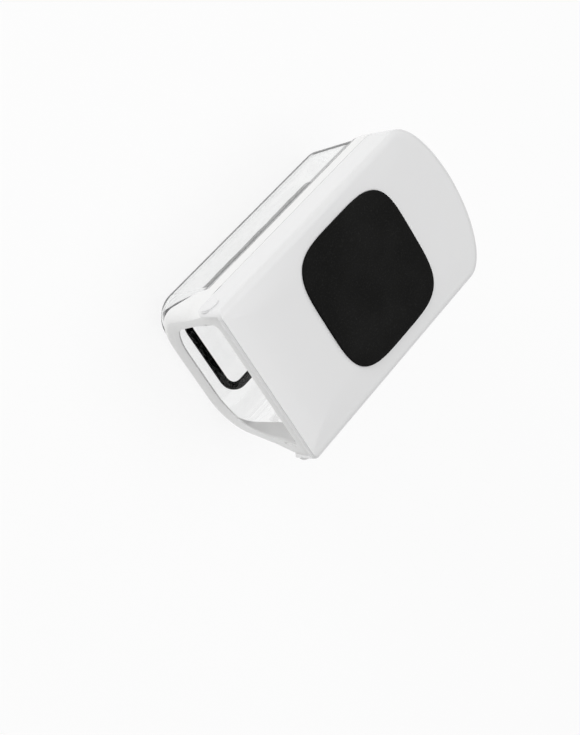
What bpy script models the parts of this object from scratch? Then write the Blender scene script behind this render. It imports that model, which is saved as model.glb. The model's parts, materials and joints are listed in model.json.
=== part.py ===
"""Press type vegetable chopper: clear catch box, white frame with a pour spout, blades and hinged lid.

Metres, +Z up, +X towards the pour end. The origin is on the table under the middle of the whole object.
Every distance named "back" is measured from the pour end of the lid towards the rear.
"""
import math

import bmesh
import bpy
from mathutils import Matrix, Vector

# Whole object
GAP = 0.0003
CUT_CLEAR = 0.0120
LID_LENGTH = 0.2026
LID_WIDTH = 0.1126
FRONT = LID_LENGTH / 2
REAR = -LID_LENGTH / 2
LID_HALF = LID_WIDTH / 2

# Heights that the pieces share
BOX_TOP = 0.0585
BAND_HEIGHT = 0.0112
LID_SKIRT = 0.0233
HINGE_RISE = 0.0083
LID_BOTTOM = BOX_TOP + BAND_HEIGHT
BAND_TOP = LID_BOTTOM - GAP
LID_EDGE = LID_BOTTOM + LID_SKIRT
HINGE_Z = LID_BOTTOM + HINGE_RISE

# Lid shell
LID_FRONT_RADIUS = 0.005
LID_REAR_DEPTH = 0.0262
LID_CROWN = 0.0008
LID_ROUND_WIDTH = 0.0062
LID_ROUND_HEIGHT = 0.0028
LID_WALL = 0.0025
LID_ROOF = 0.0028
LID_CEILING = LID_EDGE - LID_ROOF

# Hinge
HINGE_BACK = 0.0080
HINGE_BOSS_RADIUS = 0.0060
HINGE_BOSS_PROUD = 0.0010
HINGE_STUB_RADIUS = 0.0030
HINGE_STUB_ENGAGED = 0.0026
HINGE_SIDE_PLAY = 0.0006
CROSSBAR_RADIUS = 0.0115
HINGE_X = FRONT - HINGE_BACK

# Soft pad
PAD_LENGTH = 0.0918
PAD_WIDTH = 0.0880
PAD_POWER = 4.1
PAD_SUNK = 0.0004
PAD_PROUD = 0.0018
PAD_CROWN = 0.0019
PAD_RECESS_FLOOR = LID_EDGE - PAD_SUNK
PAD_EDGE = LID_EDGE + PAD_PROUD
PAD_TOP = PAD_EDGE + PAD_CROWN

# Catch box
BOX_UNDERSIDE = 0.0012
BOX_WALL = 0.0022
BOX_FLOOR = 0.0026
BOX_TOP_INSET = 0.0012
BOX_LOW_INSET = 0.0041
BOX_TOP_HALF = LID_HALF - BOX_TOP_INSET
BOX_LOW_HALF = LID_HALF - BOX_LOW_INSET
BOX_SIDE_FILLET = 0.0160
BOX_FRONT_FILLET = 0.0050
BOX_FRONT_BACK = 0.0148
BOX_FRONT_RADIUS = 0.0140
RIM_HEIGHT = 0.0028
RIM_PROUD = 0.0010

# Foot ring
RING_INSET = 0.0233
RING_FRONT_BACK = 0.0288
RING_REAR_MARGIN = 0.0236
RING_RADIUS = 0.0135
RING_STRIP = 0.0051
RING_HEIGHT = 0.0026

# Frame
BAND_WALL = 0.0028
BAND_FRONT = 0.0264
DECK = 0.0023
PLUG_DEPTH = 0.0040
PLUG_WALL = 0.0016
PLUG_FRONT = 0.0260
CHEEK_HALF = LID_HALF - LID_WALL - HINGE_SIDE_PLAY
CHEEK_BACK = 0.0110
CHEEK_SET_BACK = 0.00005
FACE_TOP = HINGE_Z + 0.0036
FACE_TOP_BACK = 0.0020
FACE_SLOPE = 0.1513
FACE_LIP = 0.0028
LIP_SET_BACK = 0.0015
SEAM_BACK = 0.0141
SEAM_SLOPE = 0.1990
SEAM_FOOT = 0.0120
HULL_BACK = 0.0400
ROOF_BACK = 0.0420
THUMB_NOTCH_RADIUS = 0.0230
THUMB_NOTCH_DEPTH = 0.0034

# Loops of the spout, as (inset from the lid's side, height, radius) corners from the top down
HOOD_TOP = BAND_TOP - 0.0004
OPENING_TOP = HINGE_Z + 0.0046
ROOM_TOP = HINGE_Z + 0.0072
SHOULDER_Z = 0.0500
HOOD_OUTER = [(0.0001, HOOD_TOP, 0.0008), (0.0007, SHOULDER_Z, 0.0300), (0.0118, 0.0038, 0.0275)]
HOOD_EDGE = [(0.0067, HOOD_TOP, 0.0008), (0.0089, SHOULDER_Z, 0.0300), (0.0165, 0.0048, 0.0270)]
SPOUT = [(0.0097, OPENING_TOP, 0.0040), (0.0127, 0.0560, 0.0300), (0.0211, 0.0155, 0.0235)]
SPOUT_INSIDE = [(0.0073, ROOM_TOP, 0.0030), (0.0079, 0.0560, 0.0300), (0.0155, 0.0066, 0.0260)]

# Blade cassette
CELLS_LONG = 8
CELLS_CROSS = 7
GRID_SIDE_MARGIN = 0.0143
GRID_BEHIND_MIDDLE = 0.0021
CELL = (LID_WIDTH - 2 * GRID_SIDE_MARGIN) / CELLS_CROSS
GRID_X = -GRID_BEHIND_MIDDLE
GRID_HALF_X = CELL * CELLS_LONG / 2
GRID_HALF_Y = CELL * CELLS_CROSS / 2
BLADE_RISE = 0.0027
BLADE_BOTTOM = BOX_TOP + BLADE_RISE
BLADE_HEIGHT = 0.0075
BLADE_TOP = BLADE_BOTTOM + BLADE_HEIGHT
BLADE_THICKNESS = 0.0006
BLADE_EDGE_THICKNESS = 0.00014
BLADE_GRIND = 0.0013
BLADE_ENGAGED = 0.0045
CARRIER_WIDTH = 0.0075
CARRIER_RADIUS = 0.0027
CLAMP_HEIGHT = 0.0015
LEDGE = 0.0022

# Pusher grid
POST = 0.0094
POST_DIP = 0.0024
POST_CHAMFER = 0.0006
PUSHER_PLATE = 0.0026
PUSHER_BORDER = 0.0025
PUSHER_RIB = 0.0018
PUSHER_RIB_DEPTH = 0.0045

# Steps of the curves
ARC_STEPS = 8
REAR_STEPS = 26
SHOULDER_STEPS = 6

for old in list(bpy.data.objects):
    bpy.data.objects.remove(old, do_unlink=True)


def rounded(corners, steps=ARC_STEPS):
    """Closed loop of 2-D points through convex corners, each given as (a, b, radius)."""
    points = []
    count = len(corners)
    for index, (a, b, radius) in enumerate(corners):
        here = Vector((a, b))
        before = (Vector(corners[index - 1][:2]) - here).normalized()
        after = (Vector(corners[(index + 1) % count][:2]) - here).normalized()
        half_angle = before.angle(after) / 2
        reach = radius / math.tan(half_angle)
        centre = here + (before + after).normalized() * (radius / math.sin(half_angle))
        start = here + before * reach - centre
        sweep = math.pi - 2 * half_angle
        turn = 1 if before.x * after.y - before.y * after.x < 0 else -1
        for step in range(steps + 1):
            angle = turn * sweep * step / steps
            points.append(centre + Matrix.Rotation(angle, 2) @ start)
    return points


def plan(front, rear, half, front_radius, rear_depth, z):
    """Horizontal loop: straight pour end, straight sides and a rear end that is half an ellipse."""
    points = []
    for side, start in ((-1, -90), (1, 0)):
        for step in range(ARC_STEPS + 1):
            angle = math.radians(start + 90 * step / ARC_STEPS)
            points.append(Vector((front - front_radius * (1 - math.cos(angle)),
                                  side * (half - front_radius) + front_radius * math.sin(angle), z)))
    for step in range(REAR_STEPS + 1):
        angle = math.radians(90 + 180 * step / REAR_STEPS)
        points.append(Vector((rear + rear_depth * (1 + math.cos(angle)), half * math.sin(angle), z)))
    return points


def lid_plan(inset, z, front_inset=None):
    """The lid's outline, moved in by an inset."""
    front = FRONT - (inset if front_inset is None else front_inset)
    half = LID_HALF - inset
    front_radius = max(LID_FRONT_RADIUS - inset, 0.0008)
    return plan(front, REAR + inset, half, front_radius, LID_REAR_DEPTH * half / LID_HALF, z)


def box_plan(half_inset, front_inset, z, half):
    """The catch box's outline at one height."""
    side = half - half_inset
    return plan(FRONT - BOX_FRONT_BACK - front_inset, REAR + LID_HALF - side, side,
                BOX_FRONT_RADIUS - front_inset, LID_REAR_DEPTH * side / LID_HALF, z)


def rectangle(x, half_x, half_y, radius, z, steps=3):
    """Horizontal rounded rectangle."""
    corners = [(x + half_x, -half_y, radius), (x + half_x, half_y, radius),
               (x - half_x, half_y, radius), (x - half_x, -half_y, radius)]
    return [Vector((p.x, p.y, z)) for p in rounded(corners, steps)]


def mesh_object(name, build):
    """Makes an object from a function that fills a bmesh, with its faces turned outwards."""
    form = bmesh.new()
    build(form)
    bmesh.ops.recalc_face_normals(form, faces=form.faces)
    mesh = bpy.data.meshes.new(name)
    form.to_mesh(mesh)
    form.free()
    made = bpy.data.objects.new(name, mesh)
    bpy.context.collection.objects.link(made)
    return made


def loft(name, loops, hollow=False):
    """Skin over loops of equal length: capped at both ends, or joined end to start when hollow."""
    def build(form):
        rows = [[form.verts.new(point) for point in loop] for loop in loops]
        pairs = list(zip(rows, rows[1:]))
        if hollow:
            pairs.append((rows[-1], rows[0]))
        for low, high in pairs:
            for index in range(len(low)):
                following = (index + 1) % len(low)
                form.faces.new((low[index], low[following], high[following], high[index]))
        if not hollow:
            form.faces.new(rows[0])
            form.faces.new(rows[-1])
    return mesh_object(name, build)


def side_prism(name, profile, half_width, centre_y=0.0):
    """Solid whose side view is a profile of (x, z) points."""
    ends = [[Vector((x, centre_y + side * half_width, z)) for x, z in profile] for side in (-1, 1)]
    return loft(name, ends)


def cylinder_across(name, x, z, radius, y_from, y_to, steps=32):
    """Round bar along Y."""
    ring = [(x + radius * math.cos(2 * math.pi * i / steps), z + radius * math.sin(2 * math.pi * i / steps))
            for i in range(steps)]
    return side_prism(name, ring, (y_to - y_from) / 2, (y_from + y_to) / 2)


def combine(target, tool, operation):
    """Applies a Boolean to the target and removes the tool."""
    change = target.modifiers.new(operation.lower(), "BOOLEAN")
    change.operation = operation
    change.solver = "EXACT"
    change.object = tool
    bpy.context.view_layer.update()
    result = bpy.data.meshes.new_from_object(target.evaluated_get(bpy.context.evaluated_depsgraph_get()))
    target.modifiers.clear()
    target.data = result
    bpy.data.objects.remove(tool, do_unlink=True)


def cut(target, *tools):
    for tool in tools:
        combine(target, tool, "DIFFERENCE")


def join(target, *tools):
    for tool in tools:
        combine(target, tool, "UNION")


def fillet_inset(rise, radius):
    """How far a quarter-round foot is drawn in at a rise above its underside."""
    return radius - math.sqrt(radius ** 2 - (radius - rise) ** 2) if rise < radius else 0.0


def seam_back(z):
    """Distance back of the box's cut front edge at a height, a line that leans like the spout's face."""
    return SEAM_BACK + SEAM_SLOPE * z


def face_x(z):
    """Front face of the spout bezel, which leans back towards the table."""
    return FRONT - FACE_TOP_BACK - max(0.0, FACE_TOP - z) * FACE_SLOPE


def front_loop(corners, grow=0.0, steps=ARC_STEPS):
    """Loop of (y, z) points, the same on both sides, from corners on one side."""
    rises = [grow] + [0.0] * (len(corners) - 2) + [-grow]
    left = [(inset - LID_HALF - grow, z + rise, radius + grow)
            for (inset, z, radius), rise in zip(corners, rises)]
    right = [(-y, z, radius) for y, z, radius in reversed(left)]
    return rounded(left + right, steps)


def shoulders(outer, edge, start_back, set_back=0.0):
    """Loops that turn forward from an outer outline to the edge of the face, in a quarter ellipse."""
    loops = []
    for step in range(SHOULDER_STEPS + 1):
        angle = math.pi / 2 * step / SHOULDER_STEPS
        loop = []
        for start, end in zip(outer, edge):
            y, z = start.lerp(end, 1 - math.cos(angle))
            x = FRONT - start_back(start.y)
            loop.append(Vector((x + (face_x(end.y) - set_back - x) * math.sin(angle), y, z)))
        loops.append(loop)
    return loops


def spout_hull(name):
    """Outside of the spout: rounded shoulders from the box's seam forward to the bezel's face."""
    outer = front_loop(HOOD_OUTER)
    inner = [Vector((FRONT - HULL_BACK, p.x, p.y)) for p in outer]
    return loft(name, [inner] + shoulders(outer, front_loop(HOOD_EDGE), seam_back))


def seam_prism(name, forward, offset=0.0):
    """Everything in front of the seam above the box's low front wall, or everything behind the seam."""
    low, high = (SEAM_FOOT, BOX_TOP + CUT_CLEAR) if forward else (-CUT_CLEAR, BOX_TOP + 0.0001)
    far = FRONT + CUT_CLEAR if forward else FRONT - ROOF_BACK - CUT_CLEAR
    line = [(FRONT - seam_back(z) - offset, z) for z in (low, high)]
    return side_prism(name, [(far, low)] + line + [(far, high)], LID_HALF + CUT_CLEAR)


def make_container():
    inner_floor = BOX_UNDERSIDE + BOX_FLOOR
    outside, inside = [], []
    rises = [0.0, 0.0006, 0.0020, 0.0045, 0.0080, 0.0120, 0.0160]
    slope = (BOX_TOP_HALF - BOX_LOW_HALF) / (BOX_TOP - BOX_UNDERSIDE - BOX_SIDE_FILLET)
    for rise in rises:
        z = BOX_UNDERSIDE + rise
        outside.append(box_plan(fillet_inset(rise, BOX_SIDE_FILLET), fillet_inset(rise, BOX_FRONT_FILLET),
                                z, BOX_LOW_HALF))
        high = inner_floor + rise * (BOX_SIDE_FILLET - BOX_WALL) / BOX_SIDE_FILLET
        inside.append(box_plan(fillet_inset(rise, BOX_SIDE_FILLET) * 0.86 + BOX_WALL,
                               fillet_inset(rise, BOX_FRONT_FILLET) + BOX_WALL, high, BOX_LOW_HALF))
    rim_low = BOX_TOP - RIM_HEIGHT
    half_low = BOX_LOW_HALF + slope * (rim_low - BOX_UNDERSIDE - BOX_SIDE_FILLET)
    outside.append(box_plan(0, 0, rim_low, half_low))
    outside.append(box_plan(-RIM_PROUD, 0, rim_low + 0.0008, half_low))
    outside.append(box_plan(-RIM_PROUD, 0, BOX_TOP - 0.0005, half_low))
    outside.append(box_plan(-RIM_PROUD + 0.0005, 0.0005, BOX_TOP, half_low))
    inside.append(box_plan(BOX_WALL, BOX_WALL, BOX_TOP - 0.0005, BOX_TOP_HALF))
    inside.append(box_plan(BOX_WALL - 0.0004, BOX_WALL - 0.0004, BOX_TOP, BOX_TOP_HALF))
    box = loft("container", outside + inside[::-1])
    cut(box, seam_prism("cut_sides", True, GAP), spout_prism("cut_front"), ring_body("cut_groove", GAP))
    return box


def spout_prism(name):
    """Straight cutter with the spout's outline, for the low front wall of the box."""
    loop = front_loop(HOOD_OUTER, GAP)
    front = FRONT - BOX_FRONT_BACK - BOX_WALL - 0.0025
    return loft(name, [[Vector((x, p.x, p.y)) for p in loop] for x in (front, FRONT + CUT_CLEAR)])


def ring_body(name, grow=0.0):
    """The foot ring, or the groove that it is moulded into."""
    front, rear = FRONT - RING_FRONT_BACK, REAR + RING_REAR_MARGIN
    middle, half_x, half_y = (front + rear) / 2, (front - rear) / 2, LID_HALF - RING_INSET

    def loop(inset, z):
        return rectangle(middle, half_x - inset, half_y - inset, RING_RADIUS - inset, z, 8)

    bottom = -0.001 if grow else 0.0
    ease = 0.0 if grow else 0.0006
    top = RING_HEIGHT + grow
    return loft(name, [loop(ease - grow, bottom), loop(-grow, bottom + 0.0007), loop(-grow, top),
                       loop(RING_STRIP + grow, top), loop(RING_STRIP + grow, bottom + 0.0007),
                       loop(RING_STRIP - ease + grow, bottom)], hollow=True)


def make_frame():
    well_x, well_y = carrier_half(GAP)
    foot = BOX_TOP + GAP
    levels = ((0.0006, foot), (0, foot + 0.0006), (0, BAND_TOP - 0.0004), (0.0004, BAND_TOP))
    tray = loft("frame", [lid_plan(inset, z, BAND_FRONT) for inset, z in levels])
    pocket_top = BAND_TOP - DECK
    cut(tray, loft("pocket", [lid_plan(BAND_WALL, BOX_TOP - 0.002), lid_plan(BAND_WALL, pocket_top)]))
    outer, low, high = BAND_WALL + 0.0009, BOX_TOP - PLUG_DEPTH, pocket_top + 0.0008
    walls = ((outer, low), (outer, high), (outer + PLUG_WALL, high), (outer + PLUG_WALL, low))
    join(tray, loft("plug", [lid_plan(inset, z, PLUG_FRONT + inset) for inset, z in walls], hollow=True))
    low = BLADE_BOTTOM - 0.0007 - GAP - LEDGE
    join(tray, loft("well", [rectangle(GRID_X, well_x + 0.0020, well_y + 0.0016, 0.0040, z)
                             for z in (low, BAND_TOP - 0.0009)]))
    join(tray, spout_hull("hull"), spout_top("spout_top"))
    cut(tray, seam_prism("behind_seam", False, 0.0))
    cut(tray, tunnel("tunnel"))
    high = BAND_TOP + CUT_CLEAR
    cut(tray, loft("seat", [rectangle(GRID_X, well_x, well_y, 0.0030, z) for z in (low + LEDGE, high)]))
    cut(tray, loft("window", [rectangle(GRID_X, GRID_HALF_X + 0.0006, GRID_HALF_Y + 0.0006, 0.0015, z)
                              for z in (low - CUT_CLEAR, high)]))
    notch_z = BAND_TOP + THUMB_NOTCH_RADIUS - THUMB_NOTCH_DEPTH
    steps = 28
    arc = [(THUMB_NOTCH_RADIUS * math.cos(2 * math.pi * i / steps), notch_z + THUMB_NOTCH_RADIUS
            * math.sin(2 * math.pi * i / steps)) for i in range(steps)]
    cut(tray, loft("notch", [[Vector((x, y, z)) for y, z in arc] for x in (REAR - CUT_CLEAR, REAR + 0.0019)]))
    for side in (-1, 1):
        reach = sorted((side * (CHEEK_HALF - 0.002), side * (LID_HALF - LID_WALL + HINGE_STUB_ENGAGED)))
        join(tray, cylinder_across("stub", HINGE_X, HINGE_Z, HINGE_STUB_RADIUS, *reach))
    return tray


def spout_top(name):
    """Upper part of the spout between the lid's ears: a crossbar rounded about the hinge, and a roof."""
    top = HINGE_Z + CROSSBAR_RADIUS + 0.0016
    cheek, low = LID_HALF - CHEEK_HALF, HOOD_TOP - 0.0050
    outer = [(cheek, top, 0.0008), (cheek, low, 0.0008)]
    edge = [(cheek + 0.0018, top, 0.0008), (cheek + 0.0042, low, 0.0008)]
    back = FRONT - ROOF_BACK
    inner = [Vector((back, p.x, p.y)) for p in front_loop(outer)]
    sides = shoulders(front_loop(outer), front_loop(edge), lambda z: CHEEK_BACK, CHEEK_SET_BACK)
    block = loft(name, [inner] + sides)
    sky = LID_EDGE + CUT_CLEAR
    above = [(back - CUT_CLEAR, sky), (back - CUT_CLEAR, BAND_TOP - 0.0008), (back, BAND_TOP - 0.0008),
             (FRONT - 0.0165, LID_CEILING - 0.0006)]
    for step in range(8):
        angle = math.radians(90 - 63 * step / 7)
        above.append((HINGE_X + CROSSBAR_RADIUS * math.cos(angle),
                      HINGE_Z + CROSSBAR_RADIUS * math.sin(angle)))
    above += [(FRONT + CUT_CLEAR, above[-1][1]), (FRONT + CUT_CLEAR, sky)]
    cut(block, side_prism("above", above, LID_HALF + CUT_CLEAR))
    return block


def tunnel(name):
    """Space inside the spout: the pour opening, the room behind its lip and the slope under the roof."""
    opening = front_loop(SPOUT)
    room = front_loop(SPOUT_INSIDE)

    def lip_back(z):
        return LIP_SET_BACK * min(1.0, max(0.0, (0.036 - z) / 0.018))

    loops = [[Vector((FRONT + CUT_CLEAR, p.x, p.y)) for p in opening],
             [Vector((face_x(p.y) - lip_back(p.y), p.x, p.y)) for p in opening],
             [Vector((face_x(p.y) - lip_back(p.y) - FACE_LIP, p.x, p.y)) for p in opening],
             [Vector((face_x(q.y) - lip_back(q.y) - FACE_LIP - 0.0008, q.x, q.y)) for q in room]]
    slope_start = FRONT - 0.0220
    slope_end = FRONT - ROOF_BACK - 0.004
    for x, top in ((slope_start, SPOUT_INSIDE[0][1]), (slope_end, BAND_TOP - DECK - 0.0002)):
        corners = [(SPOUT_INSIDE[0][0], top, 0.0010), (0.0075, SHOULDER_Z, 0.0100), SPOUT_INSIDE[2]]
        loops.append([Vector((x, p.x, p.y)) for p in front_loop(corners)])
    return loft(name, loops)


def carrier_half(grow=0.0):
    """Half length and half width of the blade carrier's outside."""
    return GRID_HALF_X + CARRIER_WIDTH + grow, GRID_HALF_Y + CARRIER_WIDTH + grow


def make_carrier():
    half_x, half_y = carrier_half()
    bottom = BLADE_BOTTOM - 0.0007
    carrier = loft("blade_carrier", [
        rectangle(GRID_X, half_x, half_y, CARRIER_RADIUS, bottom),
        rectangle(GRID_X, half_x, half_y, CARRIER_RADIUS, BLADE_TOP),
        rectangle(GRID_X, GRID_HALF_X, GRID_HALF_Y, 0.0010, BLADE_TOP),
        rectangle(GRID_X, GRID_HALF_X, GRID_HALF_Y, 0.0010, bottom)], hollow=True)
    half_slot = BLADE_THICKNESS / 2 + GAP
    for y in blade_rows(CELLS_CROSS):
        x_reach = GRID_HALF_X + BLADE_ENGAGED + GAP
        cut(carrier, loft("slot", [rectangle_plain(GRID_X, y, x_reach, half_slot, z)
                                   for z in (BLADE_BOTTOM - GAP, BLADE_TOP + CUT_CLEAR)]))
    for x in blade_rows(CELLS_LONG):
        y_reach = GRID_HALF_Y + BLADE_ENGAGED + GAP
        cut(carrier, loft("slot", [rectangle_plain(GRID_X + x, 0, half_slot, y_reach, z)
                                   for z in (BLADE_BOTTOM - GAP, BLADE_TOP + CUT_CLEAR)]))
    return carrier


def rectangle_plain(x, y, half_x, half_y, z):
    """Horizontal rectangle with square corners."""
    return [Vector((x + sx * half_x, y + sy * half_y, z)) for sx, sy in ((-1, -1), (1, -1), (1, 1), (-1, 1))]


def blade_rows(cells):
    """Places of the blades between the cells of one direction, about the grid's middle."""
    return [CELL * (index - cells / 2) for index in range(1, cells)]


def make_clamp():
    half_x, half_y = carrier_half()
    bottom = BLADE_TOP + GAP
    top = bottom + CLAMP_HEIGHT
    return loft("blade_clamp", [
        rectangle(GRID_X, half_x, half_y, CARRIER_RADIUS, bottom),
        rectangle(GRID_X, half_x, half_y, CARRIER_RADIUS, top - 0.0005),
        rectangle(GRID_X, half_x - 0.0005, half_y - 0.0005, CARRIER_RADIUS - 0.0005, top),
        rectangle(GRID_X, GRID_HALF_X + 0.0015, GRID_HALF_Y + 0.0015, 0.0010, top),
        rectangle(GRID_X, GRID_HALF_X + 0.0005, GRID_HALF_Y + 0.0005, 0.0010, top - 0.0008),
        rectangle(GRID_X, GRID_HALF_X + 0.0005, GRID_HALF_Y + 0.0005, 0.0010, bottom)], hollow=True)


def make_blade(name, half_length, crossings, slots_on_top, place, along_x):
    """Steel strip with a ground upper edge, half-lapped at each crossing blade."""
    half_slot = BLADE_THICKNESS / 2 + GAP
    grind = BLADE_TOP - BLADE_GRIND
    lap = (BLADE_BOTTOM + grind) / 2 + (-GAP / 2 if slots_on_top else GAP / 2)
    marks = [-half_length]
    for crossing in crossings:
        marks += [crossing - half_slot, crossing + half_slot]
    marks.append(half_length)
    whole, teeth = [(-half_length, half_length)], list(zip(marks[::2], marks[1::2]))
    tops, feet = (teeth, whole) if slots_on_top else (whole, teeth)

    def build(form):
        def pair(along, z, thickness=BLADE_THICKNESS):
            sides = (-thickness / 2, thickness / 2)
            if along_x:
                return [form.verts.new((place[0] + along, place[1] + side, z)) for side in sides]
            return [form.verts.new((place[0] + side, place[1] + along, z)) for side in sides]

        outline, ground = [], set()
        for index, (left, right) in enumerate(tops):
            if index:
                outline += [pair(tops[index - 1][1], lap), pair(left, lap)]
            ground.add(len(outline))
            low = [pair(left, grind), pair(right, grind)]
            high = [pair(left, BLADE_TOP, BLADE_EDGE_THICKNESS), pair(right, BLADE_TOP, BLADE_EDGE_THICKNESS)]
            outline += low
            form.faces.new((high[0][0], high[0][1], high[1][1], high[1][0]))
            for side in (0, 1):
                form.faces.new((low[0][side], low[1][side], high[1][side], high[0][side]))
                form.faces.new((low[side][0], low[side][1], high[side][1], high[side][0]))
        backwards = feet[::-1]
        for index, (left, right) in enumerate(backwards):
            if index:
                outline += [pair(backwards[index - 1][0], lap), pair(right, lap)]
            outline += [pair(right, BLADE_BOTTOM), pair(left, BLADE_BOTTOM)]
        for side in (0, 1):
            form.faces.new([point[side] for point in outline])
        for index, point in enumerate(outline):
            if index not in ground:
                following = outline[(index + 1) % len(outline)]
                form.faces.new((point[0], point[1], following[1], following[0]))

    return mesh_object(name, build)


def make_lid():
    outside = [lid_plan(0.0, LID_BOTTOM), lid_plan(0.0, LID_EDGE - LID_ROUND_HEIGHT)]
    for step in range(1, 6):
        angle = math.pi / 2 * step / 5
        inset = LID_ROUND_WIDTH * (1 - math.cos(angle))
        z = LID_EDGE - LID_ROUND_HEIGHT * (1 - math.sin(angle))
        outside.append(lid_plan(inset, z, min(inset, 0.0012)))
    for inset, front_inset, share in ((0.012, 0.010, 0.45), (0.022, 0.026, 0.80), (0.032, 0.044, 1.0)):
        outside.append(lid_plan(inset, LID_EDGE + LID_CROWN * share, front_inset))
    inside = [lid_plan(LID_WALL, LID_BOTTOM), lid_plan(LID_WALL, LID_CEILING - 0.0008),
              lid_plan(LID_WALL + 0.0008, LID_CEILING)]
    lid = loft("lid_shell", outside[::-1] + inside)
    low, ahead, behind = LID_BOTTOM - CUT_CLEAR, FRONT + CUT_CLEAR, FRONT - CUT_CLEAR
    mouth = [(behind, low), (ahead, low), (ahead, LID_CEILING), (behind, LID_CEILING)]
    cut(lid, side_prism("mouth", mouth, LID_HALF - LID_WALL))
    reach = HINGE_Z - LID_BOTTOM - 0.0002
    high = HINGE_Z + 0.0065
    corner = [(HINGE_X, low), (ahead, low), (ahead, high), (FRONT - 0.0008, high)]
    corner += [(HINGE_X + reach * math.cos(a), HINGE_Z + reach * math.sin(a))
               for a in (math.radians(24 - 114 * i / 8) for i in range(9))]
    cut(lid, side_prism("corner", corner, LID_HALF + CUT_CLEAR))
    join(lid, pusher_seat("seat"))
    for side in (-1, 1):
        outer = sorted((side * (LID_HALF - LID_WALL), side * (LID_HALF + HINGE_BOSS_PROUD)))
        join(lid, cylinder_across("boss", HINGE_X, HINGE_Z, HINGE_BOSS_RADIUS, *outer, steps=40))
        hole = sorted((side * (LID_HALF - LID_WALL - 0.001),
                       side * (LID_HALF - LID_WALL + HINGE_STUB_ENGAGED + GAP)))
        cut(lid, cylinder_across("hole", HINGE_X, HINGE_Z, HINGE_STUB_RADIUS + GAP, *hole))
    cut(lid, loft("recess", [pad_loop(-GAP, z) for z in (PAD_RECESS_FLOOR, PAD_TOP + CUT_CLEAR)]))
    return lid


def pusher_half(grow=0.0):
    """Half length and half width of the pusher's plate."""
    return GRID_HALF_X + PUSHER_BORDER + grow, GRID_HALF_Y + PUSHER_BORDER + grow


def pusher_seat(name):
    """Rib under the lid's top that holds the pusher grid's plate."""
    half_x, half_y = pusher_half(GAP)
    low = LID_CEILING - PUSHER_RIB_DEPTH
    high = LID_CEILING + 0.0008
    outer = [rectangle(GRID_X, half_x + PUSHER_RIB, half_y + PUSHER_RIB, PUSHER_RIB, z) for z in (low, high)]
    inner = [rectangle(GRID_X, half_x, half_y, GAP, z) for z in (high, low)]
    return loft(name, outer + inner, hollow=True)


def pad_loop(inset, z, count=56):
    """The pad's outline, a square with swollen sides and wide corners."""
    points = []
    for index in range(count):
        angle = 2 * math.pi * index / count
        c, s = math.cos(angle), math.sin(angle)
        x = math.copysign(abs(c) ** (2 / PAD_POWER), c) * (PAD_LENGTH / 2 - inset)
        y = math.copysign(abs(s) ** (2 / PAD_POWER), s) * (PAD_WIDTH / 2 - inset)
        points.append(Vector((GRID_X + x, y, z)))
    return points


def make_pad():
    levels = ((0, PAD_RECESS_FLOOR + GAP), (0, PAD_EDGE - 0.0004), (0.0004, PAD_EDGE + 0.0002))
    loops = [pad_loop(inset, z) for inset, z in levels]
    for inset, share in ((0.0014, 0.30), (0.006, 0.55), (0.014, 0.80), (0.024, 0.95), (0.034, 1.0)):
        loops.append(pad_loop(inset, PAD_EDGE + PAD_CROWN * share))
    return loft("soft_pad", loops)


def make_pusher():
    """Plate with one square post over each opening of the blade grid, moulded as one piece."""
    half_x, half_y = pusher_half()
    top = LID_CEILING - GAP
    under = top - PUSHER_PLATE
    foot = BLADE_TOP - POST_DIP

    def lines(cells, half):
        marks = [-half]
        for index in range(cells):
            centre = CELL * (index + 0.5 - cells / 2)
            marks += [centre - POST / 2, centre + POST / 2]
        return marks + [half]

    xs, ys = lines(CELLS_LONG, half_x), lines(CELLS_CROSS, half_y)

    def build(form):
        grid = [[form.verts.new((GRID_X + x, y, under)) for y in ys] for x in xs]
        for i in range(len(xs) - 1):
            for j in range(len(ys) - 1):
                ring = [grid[i][j], grid[i + 1][j], grid[i + 1][j + 1], grid[i][j + 1]]
                if i % 2 == 0 or j % 2 == 0:
                    form.faces.new(ring)
                    continue
                centre = sum((v.co for v in ring), Vector()) / 4
                for z, inset in ((foot + POST_CHAMFER, 0.0), (foot, POST_CHAMFER)):
                    lower = []
                    for v in ring:
                        away = v.co - centre
                        share = (POST / 2 - inset) / (POST / 2)
                        place = (centre.x + away.x * share, centre.y + away.y * share, z)
                        lower.append(form.verts.new(place))
                    for k in range(4):
                        form.faces.new((ring[k], ring[(k + 1) % 4], lower[(k + 1) % 4], lower[k]))
                    ring = lower
                form.faces.new(ring)
        lid_side = {(sx, sy): form.verts.new((GRID_X + sx * half_x, sy * half_y, top))
                    for sx in (-1, 1) for sy in (-1, 1)}
        form.faces.new([lid_side[key] for key in ((-1, -1), (1, -1), (1, 1), (-1, 1))])
        form.faces.new([row[0] for row in grid] + [lid_side[1, -1], lid_side[-1, -1]])
        form.faces.new([row[-1] for row in grid] + [lid_side[1, 1], lid_side[-1, 1]])
        form.faces.new(grid[0] + [lid_side[-1, 1], lid_side[-1, -1]])
        form.faces.new(grid[-1] + [lid_side[1, 1], lid_side[1, -1]])

    return mesh_object("pusher_grid", build)


def finish(piece, name, colour, roughness, metallic=0.0, alpha=1.0, smooth=True):
    """Gives a piece its own material and, where it is rounded, smooth shading with kept edges."""
    material = bpy.data.materials.new(name)
    material.use_nodes = True
    shader = material.node_tree.nodes["Principled BSDF"]
    shader.inputs["Base Color"].default_value = (*colour, 1.0)
    shader.inputs["Roughness"].default_value = roughness
    shader.inputs["Metallic"].default_value = metallic
    shader.inputs["Alpha"].default_value = alpha
    piece.data.materials.clear()
    piece.data.materials.append(material)
    if smooth:
        piece.data.shade_smooth()
        piece.data.set_sharp_from_angle(angle=math.radians(35))


WHITE = (0.86, 0.86, 0.85)
CLEAR = (0.90, 0.93, 0.93)
BLACK = (0.012, 0.012, 0.012)
STEEL = (0.62, 0.63, 0.64)

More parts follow.
